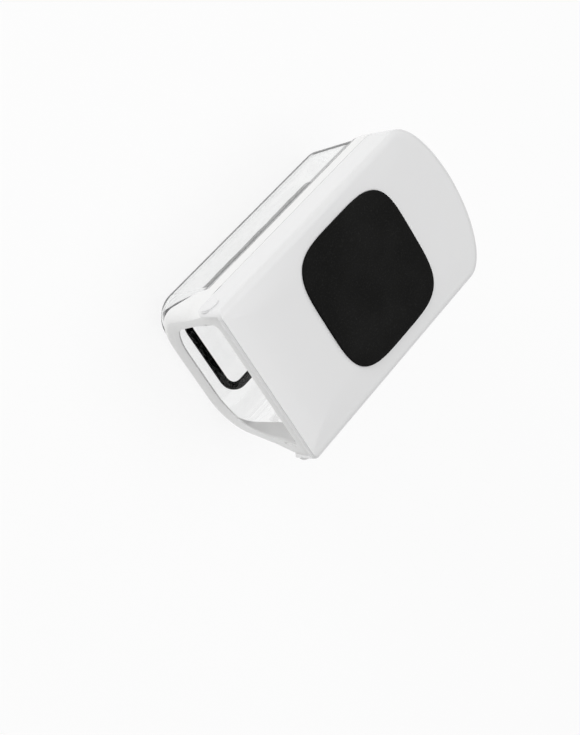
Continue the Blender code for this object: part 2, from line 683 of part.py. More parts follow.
container = make_container()
finish(container, "clear_plastic", CLEAR, 0.06, alpha=0.35)
foot_ring = ring_body("foot_ring")
finish(foot_ring, "foot_rubber", BLACK, 0.75)
frame = make_frame()
finish(frame, "white_frame_plastic", WHITE, 0.28)
finish(make_carrier(), "carrier_plastic", WHITE, 0.35)
finish(make_clamp(), "clamp_plastic", WHITE, 0.35)
for number, offset in enumerate(blade_rows(CELLS_CROSS), 1):
    strip = make_blade(f"blade_long_{number}", GRID_HALF_X + BLADE_ENGAGED, blade_rows(CELLS_LONG), False,
                       (GRID_X, offset), True)
    finish(strip, f"blade_long_{number}_steel", STEEL, 0.22, 1.0, smooth=False)
for number, offset in enumerate(blade_rows(CELLS_LONG), 1):
    strip = make_blade(f"blade_cross_{number}", GRID_HALF_Y + BLADE_ENGAGED, blade_rows(CELLS_CROSS), True,
                       (GRID_X + offset, 0.0), False)
    finish(strip, f"blade_cross_{number}_steel", STEEL, 0.22, 1.0, smooth=False)
finish(make_lid(), "white_lid_plastic", WHITE, 0.25)
finish(make_pad(), "pad_rubber", BLACK, 0.7)
finish(make_pusher(), "pusher_plastic", WHITE, 0.35, smooth=False)
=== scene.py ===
"""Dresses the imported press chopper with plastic, rubber and steel, and sets the floor, lamps and camera.

Sizes are metres in the frame of the CAD model: +X to the pour end, +Z up, the table at z = 0.
"""
from __future__ import annotations

import json
import logging
import math
from dataclasses import dataclass, field
from enum import Enum
from typing import Any

import bmesh
import bpy
import numpy as np
from mathutils import Euler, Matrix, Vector

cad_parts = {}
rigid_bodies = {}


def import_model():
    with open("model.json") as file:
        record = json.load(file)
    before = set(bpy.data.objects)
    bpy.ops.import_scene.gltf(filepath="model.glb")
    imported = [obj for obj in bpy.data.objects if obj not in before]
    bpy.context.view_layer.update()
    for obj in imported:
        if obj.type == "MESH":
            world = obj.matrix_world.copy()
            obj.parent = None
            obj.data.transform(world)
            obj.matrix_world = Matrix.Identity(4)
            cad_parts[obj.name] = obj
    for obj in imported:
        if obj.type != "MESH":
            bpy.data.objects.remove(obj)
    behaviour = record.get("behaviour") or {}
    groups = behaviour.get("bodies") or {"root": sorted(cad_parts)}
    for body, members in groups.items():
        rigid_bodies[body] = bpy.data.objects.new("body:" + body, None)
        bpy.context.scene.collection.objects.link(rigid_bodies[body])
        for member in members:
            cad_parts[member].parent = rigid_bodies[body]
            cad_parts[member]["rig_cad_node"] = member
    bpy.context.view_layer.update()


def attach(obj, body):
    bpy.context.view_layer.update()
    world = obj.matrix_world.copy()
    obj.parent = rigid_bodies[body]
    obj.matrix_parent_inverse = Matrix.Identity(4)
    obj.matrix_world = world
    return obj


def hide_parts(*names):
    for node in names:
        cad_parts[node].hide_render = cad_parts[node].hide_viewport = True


LOG = logging.getLogger("chopper")
Array = np.ndarray
Line = tuple[Array, Array]
Pair = tuple[float, float]
Triple = tuple[float, float, float]
Corners = tuple[Triple, ...]
Piece = bpy.types.Object

GRID_WELD = 2e-7
CAD_WELD = 2e-6
FLAT_DEGREES = 0.6
CREASE_DEGREES = 30.0
BEVEL_DEGREES = 40.0


class Body(Enum):
    """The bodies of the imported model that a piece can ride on."""

    BOX = "box"
    FRAME = "frame"
    LID = "lid"


class Grain(Enum):
    """The way that the brushing of a steel strip runs."""

    ALONG_BOX = (12.0, 900.0, 900.0)
    ACROSS_BOX = (900.0, 12.0, 900.0)


@dataclass
class Plan:
    """Sizes in plan that the lid, the box and the spout share."""

    front: float = 0.1013
    rear: float = -0.1013
    half: float = 0.0563
    rear_depth: float = 0.0262
    seam_back: float = 0.0141
    seam_slope: float = 0.1990


# Meshes from arrays


def linked(name: str, data: Any) -> Piece:
    """Makes and links an object.

    Args:
        name: name of the object.
        data: its mesh, lamp or camera.

    Returns:
        The object.
    """
    made = bpy.data.objects.new(name, data)
    bpy.context.scene.collection.objects.link(made)
    return made


def shaded(mesh: bpy.types.Mesh, sharp_degrees: float) -> None:
    """Shades a mesh smooth but for the edges that turn more than an angle."""
    mesh.shade_smooth()
    mesh.set_sharp_from_angle(angle=math.radians(sharp_degrees))


def points(x: Any, y: Any, z: Any) -> Array:
    """Points from coordinates that are spread to one shape, as an array (..., 3)."""
    return np.stack(np.broadcast_arrays(x, y, z), axis=-1)


class Rows:
    """Rows of points, kept one after another, that become one grid."""

    def __init__(self) -> None:
        """Starts with no rows."""
        self.kept: list[Array] = []

    def add(self, x: Any, y: Any, z: Any) -> None:
        """Keeps one row, or a block of rows."""
        block = points(x, y, z)
        self.kept.append(block.reshape(-1, *block.shape[-2:]))

    def grid(self) -> Array:
        """All rows as an array (rows, columns, 3)."""
        return np.concatenate(self.kept)


def grid_mesh(name: str, grid: Array, closed_rows: bool = False, poles: bool = False, caps: bool = False,
              sharp_degrees: float = 38.0) -> Piece:
    """Makes an object from a grid of points with closed columns, one quad between each four neighbours.

    Args:
        name: name of the object and its mesh.
        grid: array (rows, columns, 3).
        closed_rows: joins the last row to the first.
        poles: draws the first and the last row together, each in its mean point.
        caps: closes the first and the last row, each with one flat face.
        sharp_degrees: edges that turn more than this stay sharp.

    Returns:
        The new object, at the origin, with its faces turned outwards.
    """
    index = np.arange(grid.shape[0] * grid.shape[1]).reshape(grid.shape[:2])
    vertices = grid.reshape(-1, 3)
    next_row = np.roll(index, -1, axis=0) if closed_rows else index[1:]
    this_row = index if closed_rows else index[:-1]
    quads = [this_row, np.roll(this_row, -1, axis=1), np.roll(next_row, -1, axis=1), next_row]
    faces = np.stack(quads, axis=-1).reshape(-1, 4).tolist()
    for row, order in ((index[0], index[0][::-1]), (index[-1], index[-1])):
        if poles:
            centre = np.full(len(row), len(vertices))
            vertices = np.vstack([vertices, vertices[row].mean(axis=0)])
            faces += np.stack([order, centre, np.roll(order, -1)], axis=-1).tolist()
        if caps:
            faces.append(order.tolist())
    mesh = bpy.data.meshes.new(name)
    mesh.from_pydata(vertices.tolist(), [], faces)
    form = bmesh.new()
    form.from_mesh(mesh)
    bmesh.ops.remove_doubles(form, verts=form.verts, dist=GRID_WELD)
    bmesh.ops.dissolve_degenerate(form, edges=form.edges, dist=GRID_WELD / 2)
    bmesh.ops.recalc_face_normals(form, faces=form.faces)
    form.to_mesh(mesh)
    form.free()
    shaded(mesh, sharp_degrees)
    return linked(name, mesh)


def frame_nodes() -> dict[str, Piece]:
    """The CAD nodes by name."""
    return {o["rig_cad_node"]: o for o in bpy.data.objects if "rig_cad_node" in o}


def welded_copy(node: str, name: str, edge: float, segments: int = 1) -> Piece:
    """Copies a CAD node as one closed mesh and rounds its sharp edges a little.

    Args:
        node: name of the CAD node.
        name: name of the copy.
        edge: width of the rounding.
        segments: faces across the rounding.

    Returns:
        The copy.
    """
    form = bmesh.new()
    form.from_mesh(frame_nodes()[node].data)
    bmesh.ops.remove_doubles(form, verts=form.verts, dist=CAD_WELD)
    flat = math.radians(FLAT_DEGREES)
    bmesh.ops.dissolve_limit(form, angle_limit=flat, verts=form.verts, edges=form.edges)
    mesh = bpy.data.meshes.new(name)
    form.to_mesh(mesh)
    form.free()
    shaded(mesh, CREASE_DEGREES)
    made = linked(name, mesh)
    bevel = made.modifiers.new("edge", "BEVEL")
    bevel.width, bevel.segments = edge, segments
    bevel.limit_method, bevel.angle_limit = "ANGLE", math.radians(BEVEL_DEGREES)
    bevel.use_clamp_overlap = bevel.harden_normals = True
    return made


def place(piece: Piece, body: Body, slot: str, finish: Finish, *nodes: str) -> None:
    """Gives a piece its body, finish and the CAD nodes that it stands for, and reports it.

    Args:
        piece: object of the piece.
        body: body that it rides on.
        slot: not used.
        finish: finish that it gets.
        nodes: CAD nodes that it replaces.
    """
    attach(piece, body.value)
    if nodes:
        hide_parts(*nodes)
    piece.data.materials.clear()
    piece.data.materials.append(finish.material())
    LOG.info("%s rides on %s, %d faces", piece.name, body.value, len(piece.data.polygons))


def smooth_step(value: Array, low: float, high: float) -> Array:
    """3t^2 - 2t^3 of how far a value is between low and high, kept from 0 to 1."""
    t = np.clip((value - low) / (high - low), 0.0, 1.0)
    return t * t * (3 - 2 * t)


def rounded_rectangle(half_x: float, half_y: float, radius: float, steps: int) -> Line:
    """Corner circles of one radius, each a quarter turn, joined by straight sides.

    Args:
        half_x: half of the length.
        half_y: half of the width.
        radius: radius of the corners.
        steps: points on each corner.

    Returns:
        The x and y of the closed line.
    """
    quarter = np.linspace(0, math.pi / 2, steps)
    angle = np.concatenate([quarter + k * math.pi / 2 for k in range(4)])
    sign_x = np.repeat([1, -1, -1, 1], steps)
    sign_y = np.repeat([1, 1, -1, -1], steps)
    x = sign_x * (half_x - radius) + radius * np.cos(angle)
    return x, sign_y * (half_y - radius) + radius * np.sin(angle)


class DeeLoop:
    """Loops of one outline: straight pour end, rounded corners, straight sides, half an ellipse behind.

    A point is x = a.front + b.corner + c.rear + d.depth and y = e.half + f.corner, where a to f belong to
    the column and the sizes may change from row to row.
    """

    def __init__(self, front: int = 28, corner: int = 14, side: int = 72, rear: int = 96) -> None:
        """Works out the columns' coefficients.

        Args:
            front: columns over the straight pour end.
            corner: columns over each front corner.
            side: columns along each side, closer together near the pour end.
            rear: columns round the rear.
        """
        t, none = np.linspace(-1, 1, front, endpoint=False), np.zeros(front)
        pour = np.stack([none + 1, none, none, none, t, -t])
        b, none = np.linspace(math.pi / 2, 3 * math.pi / 2, rear, endpoint=False), np.zeros(rear)
        behind = np.stack([none, none, none + 1, 1 + np.cos(b), np.sin(b), none])
        turn = np.linspace(0, math.pi / 2, corner + 1)
        flank = np.linspace(0, 1, side + 1) ** 1.8
        self.k = np.concatenate([pour, self.turn(turn[:-1], 1), self.flank(flank[:-1], 1), behind,
                                 self.flank(flank[:0:-1], -1), self.turn(turn[:0:-1], -1)], axis=1)

    @staticmethod
    def turn(angle: Array, side: int) -> Array:
        """Coefficients of a front corner at angles from 0 at the pour end to a quarter turn at the side."""
        none = np.zeros_like(angle)
        return np.stack([none + 1, np.cos(angle) - 1, none, none, none + side, side * (np.sin(angle) - 1)])

    @staticmethod
    def flank(share: Array, side: int) -> Array:
        """Coefficients of a straight side at shares from 0 at the corner to 1 where the rear begins."""
        none = np.zeros_like(share)
        return np.stack([1 - share, share - 1, share, share, none + side, none])

    def loop(self, front: Any, corner: Any, rear: Any, depth: Any, half: Any) -> Line:
        """The x and y of every column, for sizes that are numbers or arrays that spread over the rows."""
        a, b, c, d, e, f = self.k
        return a * front + b * corner + c * rear + d * depth, e * half + f * corner


# Materials


class Signal:
    """A number that varies over a surface, held by one socket of a tree of nodes."""

    def __init__(self, bench: Bench, socket: bpy.types.NodeSocket) -> None:
        """Keeps the socket and its bench."""
        self.bench, self.socket = bench, socket

    def _math(self, operation: str, *operands: Any) -> Signal:
        """One Math node over the operands."""
        node = self.bench.node("ShaderNodeMath", dict(enumerate(operands)), operation=operation)
        return Signal(self.bench, node.outputs[0])

    def __add__(self, other: Any) -> Signal:
        """self + other."""
        return self._math("ADD", self, other)

    def __sub__(self, other: Any) -> Signal:
        """self - other."""
        return self._math("SUBTRACT", self, other)

    def __rsub__(self, other: Any) -> Signal:
        """other - self."""
        return self._math("SUBTRACT", other, self)

    def __mul__(self, other: Any) -> Signal:
        """self * other."""
        return self._math("MULTIPLY", self, other)

    __radd__ = __add__
    __rmul__ = __mul__

    def __abs__(self) -> Signal:
        """self without its sign."""
        return self._math("ABSOLUTE", self)

    def most(self, other: Signal) -> Signal:
        """The larger of self and other."""
        return self._math("MAXIMUM", self, other)

    def between(self, low: float, high: float, to_low: float = 0.0, to_high: float = 1.0) -> Signal:
        """Smooth step of self.

        Args:
            low: where the step begins.
            high: where the step ends.
            to_low: result before the step.
            to_high: result after the step.

        Returns:
            The stepped signal.
        """
        ends = {"From Min": low, "From Max": high, "To Min": to_low, "To Max": to_high}
        ends["Value"] = self
        node = self.bench.node("ShaderNodeMapRange", ends, interpolation_type="SMOOTHSTEP")
        return Signal(self.bench, node.outputs[0])


class Bench:
    """The nodes of one material or of the world, with the shader that they feed."""

    def __init__(self, holder: Any, shader: str = "Principled BSDF") -> None:
        """Switches on the nodes and finds the shader.

        Args:
            holder: a material or a world.
            shader: name of its shader node.
        """
        holder.use_nodes = True
        self.holder, self.tree = holder, holder.node_tree
        self.shader = self.tree.nodes[shader]
        self.coordinates = self.node("ShaderNodeTexCoord").outputs

    def node(self, kind: str, sockets: dict[Any, Any] | None = None, **settings: Any) -> bpy.types.Node:
        """Adds a node.

        Args:
            kind: Blender's type of the node.
            sockets: inputs by name or number, each a value, a socket or a Signal.
            settings: properties of the node, which are set first.

        Returns:
            The node.
        """
        made = self.tree.nodes.new(kind)
        for key, value in settings.items():
            setattr(made, key, value)
        for key, value in (sockets or {}).items():
            self.feed(made.inputs[key], value)
        return made

    def feed(self, socket: bpy.types.NodeSocket, value: Any) -> None:
        """Feeds one socket.

        Args:
            socket: the input.
            value: a Signal or a socket, which is linked, or a constant, which is set.
        """
        if isinstance(value, Signal):
            value = value.socket
        if isinstance(value, bpy.types.NodeSocket):
            self.tree.links.new(value, socket)
        else:
            socket.default_value = value

    def noise(self, scale: float, detail: float = 3.0, stretch: Triple = (1, 1, 1), rough: float = 0.5,
              offset: Triple = (0, 0, 0)) -> Signal:
        """Noise from 0 to 1 on Object coordinates.

        Args:
            scale: waves per metre.
            detail: number of finer octaves.
            stretch: factor of the scale on each axis.
            rough: weight of each finer octave.
            offset: shift of the pattern.

        Returns:
            The noise.
        """
        spot = {"Vector": self.coordinates["Object"], "Scale": stretch, "Location": offset}
        mapped = self.node("ShaderNodeMapping", spot).outputs[0]
        pattern = {"Vector": mapped, "Scale": scale, "Detail": detail, "Roughness": rough}
        return Signal(self, self.node("ShaderNodeTexNoise", pattern).outputs["Fac"])

    def cells(self, scale: float) -> Signal:
        """Distance to the nearest point of a Voronoi pattern, for pebbled grain."""
        spot = {"Vector": self.coordinates["Object"], "Scale": scale}
        return Signal(self, self.node("ShaderNodeTexVoronoi", spot, feature="F1").outputs["Distance"])

    def blend(self, factor: Signal, first: Triple, second: Triple) -> bpy.types.NodeSocket:
        """Mixes two colours by a signal."""
        colours = {0: factor, 6: (*first, 1.0), 7: (*second, 1.0)}
        return self.node("ShaderNodeMix", colours, data_type="RGBA").outputs[2]

    def relief(self, height: Signal, depth: float) -> None:
        """Bumps the surface by a height signal times a depth in metres."""
        bump = self.node("ShaderNodeBump", {"Height": height, "Distance": depth, "Strength": 1.0})
        self.dress(Normal=bump.outputs[0])

    def dress(self, **inputs: Any) -> None:
        """Links what varies to the shader's sockets, named with _ for a space, and sets constants there."""
        for key, value in inputs.items():
            self.feed(self.shader.inputs[key.replace("_", " ")], value)

    def rays(self) -> tuple[Signal, Signal]:
        """Tells the kinds of rays apart.

        Returns:
            1 on rays from the camera, and 1 on rays that come by a reflection or through clear plastic.
        """
        path = self.node("ShaderNodeLightPath").outputs
        kinds = ("Camera", "Glossy", "Transmission")
        camera, glossy, through = (Signal(self, path[f"Is {kind} Ray"]) for kind in kinds)
        return camera, glossy.most(through)


class Finish:
    """A material that is made once and used by every piece of that finish."""

    made: dict[str, bpy.types.Material] = {}
    name: str

    def material(self) -> bpy.types.Material:
        """The finish's material, made on first use."""
        if self.name not in Finish.made:
            bench = Bench(bpy.data.materials.new(self.name))
            self.build(bench)
            Finish.made[self.name] = bench.holder
        return Finish.made[self.name]

    def build(self, bench: Bench) -> None:
        """Lays out the nodes on a bench."""
        raise NotImplementedError


@dataclass(frozen=True)
class MouldedPlastic(Finish):
    """Opaque moulded plastic with faint flow marks, smudges and a slight peel."""

    name: str
    colour: Triple
    shade: Triple
    roughness: float
    peel_depth: float = 0.000012
    smudge_rough: float = 0.06
    flow_rough: float = 0.04
    fine_peel: float = 0.10

    def build(self, bench: Bench) -> None:
        """Colour drifts between two near whites, roughness follows flow and smudges, bump is the peel."""
        drift = bench.noise(16.0, 1.0)
        flow = bench.noise(60.0, 1.0, (0.35, 1.0, 1.0), offset=(3.1, 0.4, 0.0))
        smudge = bench.noise(38.0, 2.0, offset=(1.7, 2.3, 0.9))
        bench.dress(Base_Color=bench.blend(drift * 0.6 + flow * 0.4, self.colour, self.shade),
                    Roughness=smudge * self.smudge_rough + flow * self.flow_rough + self.roughness,
                    IOR=1.50, Specular_IOR_Level=0.5)
        bench.relief(bench.noise(380.0, 2.0) + bench.noise(1500.0, 0.0) * self.fine_peel, self.peel_depth)


@dataclass(frozen=True)
class ClearPlastic(Finish):
    """Clear moulded plastic with faint smudges, slow waves and painted shade along its cut edge."""

    name: str
    colour: Triple
    seam_shade_colour: Triple
    roughness: float
    smudge_rough: float = 0.05
    drift: float = 0.004
    wave_depth: float = 0.00004
    # Attribute that holds the painted shade along the cut edge, standing for the seam's shadow and dark
    # refraction.
    cut_edge: str = "cut_edge"

    def build(self, bench: Bench) -> None:
        """Colour darkens with painted shade near the cut edge, roughness follows smudges, and bump is slow
        waves.
        """
        smudge = bench.noise(38.0, 5.0, rough=0.65, offset=(7.0, 1.0, 2.0)).between(0.52, 0.78)
        # Painted shade: by this attribute the colour turns near black along the cut edge.
        cut = Signal(bench, bench.node("ShaderNodeAttribute", attribute_name=self.cut_edge).outputs["Fac"])
        tone_and_seam_shade = bench.noise(22.0, 2.0) * self.drift + cut
        bench.dress(Base_Color=bench.blend(tone_and_seam_shade, self.colour, self.seam_shade_colour),
                    Roughness=smudge * self.smudge_rough + self.roughness,
                    IOR=1.56, Transmission_Weight=1.0, Specular_IOR_Level=0.45)
        bench.relief(bench.noise(55.0, 1.0), self.wave_depth)


@dataclass(frozen=True)
class SoftRubber(Finish):
    """Matt black rubber with a fine spark-eroded grain and a little dust in it."""

    name: str
    colour: Triple
    dusty: Triple
    roughness: float
    grain: float = 2300.0
    grain_depth: float = 0.00007
    wear_rough: float = 0.12
    grain_rough: float = 0.10

    def build(self, bench: Bench) -> None:
        """Pebbled grain is bump, and colour and roughness lift where skin oil or dust would sit."""
        pebble = bench.cells(self.grain)
        fine = bench.noise(self.grain * 2.2, 2.0)
        worn = bench.noise(30.0, 4.0, offset=(0.5, 0.8, 0.2))
        dust = bench.noise(self.grain * 0.45, 3.0, rough=0.7, offset=(9.0, 4.0, 1.0)).between(0.50, 0.74)
        dull = worn.between(0.35, 0.75) * 0.3 + dust * 0.7
        bench.dress(Base_Color=bench.blend(dull, self.colour, self.dusty),
                    Roughness=worn * self.wear_rough + pebble * self.grain_rough + self.roughness,
                    IOR=1.45, Specular_IOR_Level=0.12)
        bench.relief(pebble * 0.7 + fine * 0.3, self.grain_depth)


@dataclass(frozen=True)
class GroundSteel(Finish):
    """Stainless strip with brushing along its length and a smoother ground edge on top."""

    name: str
    colour: Triple
    grain: Grain
    edge_height: float
    edge_blur: float = 0.0001
    dark_share: float = 0.82
    roughness: float = 0.30
    brush_rough: float = 0.10
    ground_polish: float = 0.12
    brush_depth: float = 0.000006

    def build(self, bench: Bench) -> None:
        """Brushing is stretched noise, and roughness falls above the height of the ground edge."""
        brushed = bench.noise(1.0, 4.0, self.grain.value)
        broad = bench.noise(0.12, 2.0, self.grain.value, offset=(2.0, 2.0, 2.0))
        spot = bench.node("ShaderNodeSeparateXYZ", {"Vector": bench.coordinates["Object"]}).outputs
        low, high = self.edge_height - self.edge_blur, self.edge_height + self.edge_blur
        ground = Signal(bench, spot["Z"]).between(low, high)
        darker = tuple(c * self.dark_share for c in self.colour)
        bench.dress(Base_Color=bench.blend(brushed * 0.6 + broad * 0.4, darker, self.colour),
                    Roughness=brushed * self.brush_rough - ground * self.ground_polish + self.roughness,
                    Metallic=1.0)
        bench.relief(brushed, self.brush_depth)


LID_WHITE = MouldedPlastic("lid_white", (0.80, 0.80, 0.80), (0.785, 0.785, 0.79), 0.17)
FRAME_WHITE = MouldedPlastic("frame_white", (0.845, 0.845, 0.84), (0.83, 0.83, 0.825), 0.18)
# The face band is rougher satin, and its darker white is painted shade: the frame's plastic made darker
# where the spout's face lies in shade.
FACE_BAND_SHADED = MouldedPlastic("face_band_shaded", (0.80, 0.80, 0.795), (0.78, 0.78, 0.775), 0.36, 0.00002)
INNER_WHITE = MouldedPlastic("inner_white", (0.78, 0.78, 0.775), (0.76, 0.76, 0.755), 0.34, 0.00002)
# The clear box's second colour is painted shade, near black, for the dark line along its cut edge.
BOX_CLEAR = ClearPlastic("box_clear", (0.985, 0.988, 0.987), (0.015, 0.015, 0.016), 0.012)
PAD_BLACK = SoftRubber("pad_black", (0.0022, 0.0022, 0.0020), (0.018, 0.018, 0.0175), 0.66)
RING_BLACK = SoftRubber("ring_black", (0.003, 0.003, 0.003), (0.008, 0.008, 0.008), 0.60, 1500.0, 0.00003)


# Lid


@dataclass
class Lid(Plan):
    """Lid with its walls, hinge ears and pad, and the post grid below it."""

    outline: DeeLoop = field(default_factory=DeeLoop)
    corner: float = 0.0050
    least_corner: float = 0.0008
    bottom: float = 0.0697
    edge: float = 0.0930
    crown: float = 0.0008
    crown_reach: float = 0.030
    round_width: float = 0.0062
    round_front: float = 0.0012
    round_height: float = 0.0028
    round_rows: int = 14
    wall: float = 0.0025
    ceiling: float = 0.0902
    cove: float = 0.0008
    lip: float = 0.0005
    hinge_x: float = 0.0933
    hinge_z: float = 0.0780
    ear_reach: float = 0.0081
    mouth_degrees: float = 32.0
    mouth_fold: float = 0.0005
    mouth_inset: float = 0.0010
    mouth_ease: float = 0.0002
    least_rise: float = 0.0002
    least_turn: float = 0.00005
    boss_radius: float = 0.0060
    boss_proud: float = 0.0010
    pad_x: float = -0.0021
    pad_half_x: float = 0.0459
    pad_half_y: float = 0.0440
    pad_power: float = 4.1
    pad_floor: float = 0.0926
    pad_edge: float = 0.0948
    pad_crown: float = 0.0019
    pad_depth: float = 0.045
    pad_columns: int = 320
    crown_edge: float = 0.3
    crown_edge_reach: float = 0.0012
    crown_middle_reach: float = 0.036
    seat_half_x: float = 0.0508
    seat_half_y: float = 0.0448
    seat_rib: float = 0.0018
    seat_depth: float = 0.0045
    seat_sunk: float = 0.0006
    seat_ease: float = 0.0004
    post_edge: float = 0.0002
    gap: float = 0.0003

    def loops(self, inset: Any, front_inset: Any = None) -> Line:
        """The lid's outline drawn in by an inset, which may change from column to column.

        Args:
            inset: inset of the sides and the rear.
            front_inset: inset of the pour end, the same where it isn't given.

        Returns:
            The x and y of every column.
        """
        half = self.half - inset
        corner = np.maximum(self.corner - inset, self.least_corner)
        front = self.front - (inset if front_inset is None else front_inset)
        return self.outline.loop(front, corner, self.rear + inset, self.rear_depth * half / self.half, half)

    def pad_radius(self, angle: Array, grow: float = 0.0) -> Array:
        """Radius of the outline |x/a|^p + |y/b|^p = 1, which is (|cos/a|^p + |sin/b|^p)^(-1/p).

        Args:
            angle: directions from the pad's middle.
            grow: how far the outline moves outwards.

        Returns:
            The radii.
        """
        p = self.pad_power
        across = np.abs(np.cos(angle) / (self.pad_half_x + grow)) ** p
        return (across + np.abs(np.sin(angle) / (self.pad_half_y + grow)) ** p) ** (-1 / p)

    def pad_outline(self, x: Array, y: Array, grow: float) -> Line:
        """Points of the pad's outline in given directions from its middle.

        Args:
            x: x of points in these directions.
            y: y of these points.
            grow: how far the outline moves outwards.

        Returns:
            The x and y on the outline.
        """
        angle = np.arctan2(y, x - self.pad_x)
        radius = self.pad_radius(angle, grow)
        return self.pad_x + radius * np.cos(angle), radius * np.sin(angle)

    def build(self) -> None:
        """Builds and dresses every piece of the lid."""
        place(self.shell(), Body.LID, "lid_shell", LID_WHITE, "lid_shell")
        place(self.pad(), Body.LID, "soft_pad", PAD_BLACK, "soft_pad")
        for side, word in ((-1, "right"), (1, "left")):
            place(self.boss(side, f"hinge_boss_{word}"), Body.LID, "lid_shell", LID_WHITE)
        place(self.seat(), Body.LID, "lid_shell", LID_WHITE)
        grid = welded_copy("pusher_grid", "post_grid", self.post_edge)
        place(grid, Body.LID, "pusher_grid", INNER_WHITE, "pusher_grid")

    def shell(self) -> Piece:
        """One closed skin: from the middle of the inside down the wall, round its foot and up to the pad.

        Each column is a radial cut. Between the ears the wall's rows fold into the roof's front edge. On
        the ears the foot follows a circle about the hinge.
        """
        outer_x, outer_y = self.loops(0.0)
        turned = np.degrees(np.arctan2(np.abs(outer_y) - self.half + self.corner,
                                       np.maximum(outer_x - self.front + self.corner, 1e-9)))
        mouth = ((outer_x > self.front - self.corner) & (turned < self.mouth_degrees)).astype(float)
        ahead = np.clip(outer_x - self.hinge_x, 0.0, self.ear_reach)
        ear = np.maximum(self.hinge_z - np.sqrt(self.ear_reach ** 2 - ahead ** 2), self.bottom)
        foot = np.where(outer_x > self.hinge_x, ear, self.bottom)
        base = np.where(mouth > 0, self.ceiling, foot)
        rows = Rows()

        roof_x, roof_y = self.loops(self.wall + self.cove)
        for share in (0.04, 0.3, 0.6, 0.85, 1.0):
            rows.add(self.pad_x + (roof_x - self.pad_x) * share, roof_y * share, self.ceiling)
        for inset, drop in ((self.wall + 0.0003, 0.0002), (self.wall, self.cove)):
            rows.add(*self.loops(inset), self.ceiling - drop * (1 - mouth))
        under = self.ceiling - self.cove
        for step, share in enumerate((0.35, 0.7, 1.0), 1):
            down = under + (foot + self.lip - under) * share
            inset = self.wall - mouth * step * self.mouth_fold
            rows.add(*self.loops(inset), np.where(mouth > 0, self.ceiling, down))

        for turn in (1 / 3, 2 / 3, 1.0):
            a = turn * math.pi / 2
            inset = (self.wall - self.lip * (1 - math.cos(a))) * (1 - mouth)
            inset += mouth * (self.mouth_inset - self.mouth_ease * turn)
            rows.add(*self.loops(inset), base + (1 - mouth) * self.lip * (1 - math.sin(a)))
        for a in np.radians((90, 60, 30, 0)):
            rows.add(*self.loops(self.lip * (1 - math.cos(a))), base + self.lip * (1 - math.sin(a)))
        start = base + self.lip
        top = np.maximum(self.edge - self.round_height, start + self.least_rise)
        for share in (0.35, 0.7, 1.0):
            rows.add(outer_x, outer_y, start + (top - start) * share)
        for turn in np.linspace(0, 1, self.round_rows + 1)[1:]:
            a = turn * math.pi / 2
            inset = self.round_width * (1 - math.cos(a))
            z = np.maximum(self.edge - self.round_height * (1 - math.sin(a)), top + self.least_turn * turn)
            rows.add(*self.loops(inset, min(inset, self.round_front)), z)

        rim = np.array(self.loops(self.round_width, self.round_front))
        way = np.array(self.pad_outline(*rim, self.gap)) - rim
        for share in (0.06, 0.14, 0.25, 0.4, 0.55, 0.7, 0.85, 0.95, 1.0):
            depth = np.minimum(np.hypot(*way) * share / self.crown_reach, 1.0)
            z = self.edge + self.crown * (1 - (1 - depth) ** 2)
            rows.add(*(rim + way * share), z)
        for tighter, drop in ((0.00008, 0.00006), (0.0001, 0.0003)):
            rows.add(*self.pad_outline(*rim, self.gap - tighter), z - drop)
        x, y = self.pad_outline(*rim, self.gap - tighter)
        for share in (1.0, 0.6, 0.05):
            rows.add(self.pad_x + (x - self.pad_x) * share, y * share, self.pad_floor)
        return grid_mesh("lid_cover", rows.grid(), poles=True)

    def pad(self) -> Piece:
        """Soft pad: the outline drawn towards its middle by t, so the inset is d = depth * t.

        Its height is edge + crown (k (1 - exp(-d / edge reach)) + (1 - k) (1 - (1 - d / middle reach)^2)).
        """
        angle = np.linspace(0, 2 * math.pi, self.pad_columns, endpoint=False)
        radius = self.pad_radius(angle)
        t = np.concatenate([[0.002, 0.005, 0.009, 0.014, 0.02, 0.028, 0.04], np.linspace(0.06, 0.97, 30)])
        inset = self.pad_depth * t
        rise = self.crown_edge * (1 - np.exp(-inset / self.crown_edge_reach))
        rise += (1 - self.crown_edge) * (1 - (1 - np.minimum(inset / self.crown_middle_reach, 1)) ** 2)
        low, high = self.pad_floor + self.gap, self.pad_edge
        sides = [low, low, low, low + 0.0002, high - 0.0006, high - 0.0002]
        z = np.concatenate([sides, high + self.pad_crown * rise])[:, None]
        share = np.concatenate([[0.05, 0.6, 0.996, 1.0, 1.0, 1.0], 1 - t])[:, None]
        skin = points(self.pad_x + share * (radius * np.cos(angle)), share * (radius * np.sin(angle)), z)
        return grid_mesh("press_pad", skin, poles=True)

    def boss(self, side: int, name: str) -> Piece:
        """Round boss on the ear over the hinge: a profile turned about the hinge's axis.

        Args:
            side: 1 for the +Y ear and -1 for the other.
            name: name of the piece.

        Returns:
            The boss.
        """
        radius = self.boss_radius * np.array([[0.05, 0.55, 0.84, 0.93, 0.98, 1.0, 1.0, 1.05, 1.05, 0.1]]).T
        height = self.boss_proud * np.array([[0.80, 0.80, 0.84, 0.97, 0.80, 0.55, 0.1, 0.0, -0.8, -0.8]]).T
        angle = np.linspace(0, 2 * math.pi, 64, endpoint=False)
        x, z = self.hinge_x + radius * np.cos(angle), self.hinge_z + radius * np.sin(angle)
        skin = points(x, side * (self.half + height), z)
        return grid_mesh(name, skin, poles=True)

    def seat(self) -> Piece:
        """Rib under the roof round the post grid's plate: a section carried round a rounded rectangle."""
        rib, ease = self.seat_rib, self.seat_ease
        low, high = self.ceiling - self.seat_depth, self.ceiling + self.seat_sunk
        outside = ((rib, high), (rib, low + ease), (rib - ease, low))
        rows = Rows()
        for grow, z in (*outside, (ease, low), (0.0, low + ease), (0.0, high)):
            half_x, half_y = self.seat_half_x + grow, self.seat_half_y + grow
            x, y = rounded_rectangle(half_x, half_y, self.seat_sunk + grow, 10)
            rows.add(self.pad_x + x, y, z)
        return grid_mesh("post_grid_seat", rows.grid(), closed_rows=True)


# Catch box


